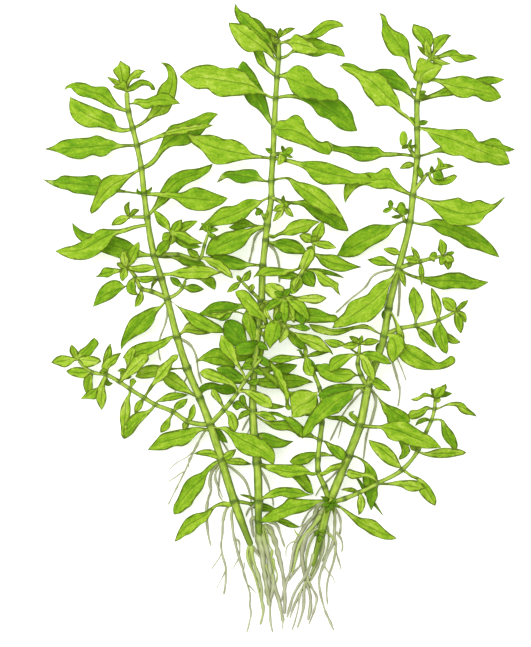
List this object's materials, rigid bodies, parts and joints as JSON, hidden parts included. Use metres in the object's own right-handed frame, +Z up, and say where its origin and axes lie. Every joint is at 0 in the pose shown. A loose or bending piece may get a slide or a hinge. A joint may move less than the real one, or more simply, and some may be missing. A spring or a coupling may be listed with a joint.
{
  "type": "aquarium plant bunch",
  "caption": "Bunch of three leafy marsh seedbox shoots grown from one root mass, lying flat, with side shoots and fine pale roots.",
  "frame": {"origin": "centre of the bunch's bounding box, on the surface that it lies on", "axes": "+Y from the roots to the growing tips, +Z up from the surface, +X to the bunch's right as seen from above"},
  "size_m": [0.166, 0.221, 0.0155],
  "materials": {
    "leaf": "satin, soft leaf with darker veins",
    "stem": "satin, smooth stem",
    "root": "matt, pale root"
  },
  "bodies": {
    "root": {"left_leaf_01_left": "leaf", "left_leaf_02_left": "leaf", "left_leaf_02_right": "leaf", "left_leaf_03_left": "leaf", "left_leaf_04_left": "leaf", "left_leaf_04_right": "leaf", "left_leaf_05_left": "leaf", "left_leaf_05_right": "leaf", "left_leaf_06_left": "leaf", "left_leaf_06_right": "leaf", "left_leaf_09_left": "leaf", "left_leaf_13_right": "leaf", "left_leaf_14_left": "leaf", "left_leaf_15_left": "leaf", "left_low_branch": "stem", "left_low_twig": "stem", "left_mid_shoot": "stem", "left_root_tuft": "root", "left_stem": "stem", "left_upper_shoot": "stem", "middle_leaf_01_left": "leaf", "middle_leaf_02_left": "leaf", "middle_leaf_04_right": "leaf", "middle_leaf_05_left": "leaf", "middle_leaf_05_right": "leaf", "middle_leaf_06_right": "leaf", "middle_leaf_07_left": "leaf", "middle_leaf_07_right": "leaf", "middle_leaf_08_right": "leaf", "middle_leaf_09_left": "leaf", "middle_leaf_09_right": "leaf", "middle_leaf_10_left": "leaf", "middle_low_shoot": "stem", "middle_right_shoot": "stem", "middle_root_tuft": "root", "middle_stem": "stem", "right_leaf_01_right": "leaf", "right_leaf_02_left": "leaf", "right_leaf_02_right": "leaf", "right_leaf_03_left": "leaf", "right_leaf_03_right": "leaf", "right_leaf_04_right": "leaf", "right_leaf_06_left": "leaf", "right_leaf_06_right": "leaf", "right_leaf_07_left": "leaf", "right_leaf_07_right": "leaf", "right_leaf_08_left": "leaf", "right_leaf_08_right": "leaf", "right_leaf_09_right": "leaf", "right_leaf_11_left": "leaf", "right_leaf_12_right": "leaf", "right_leaf_14_left": "leaf", "right_leaf_14_right": "leaf", "right_low_branch": "stem", "right_low_shoot": "stem", "right_mid_branch": "stem", "right_root_tuft": "root", "right_stem": "stem", "right_tall_shoot": "stem", "right_upper_shoot": "stem"}
  },
  "joints": []
}
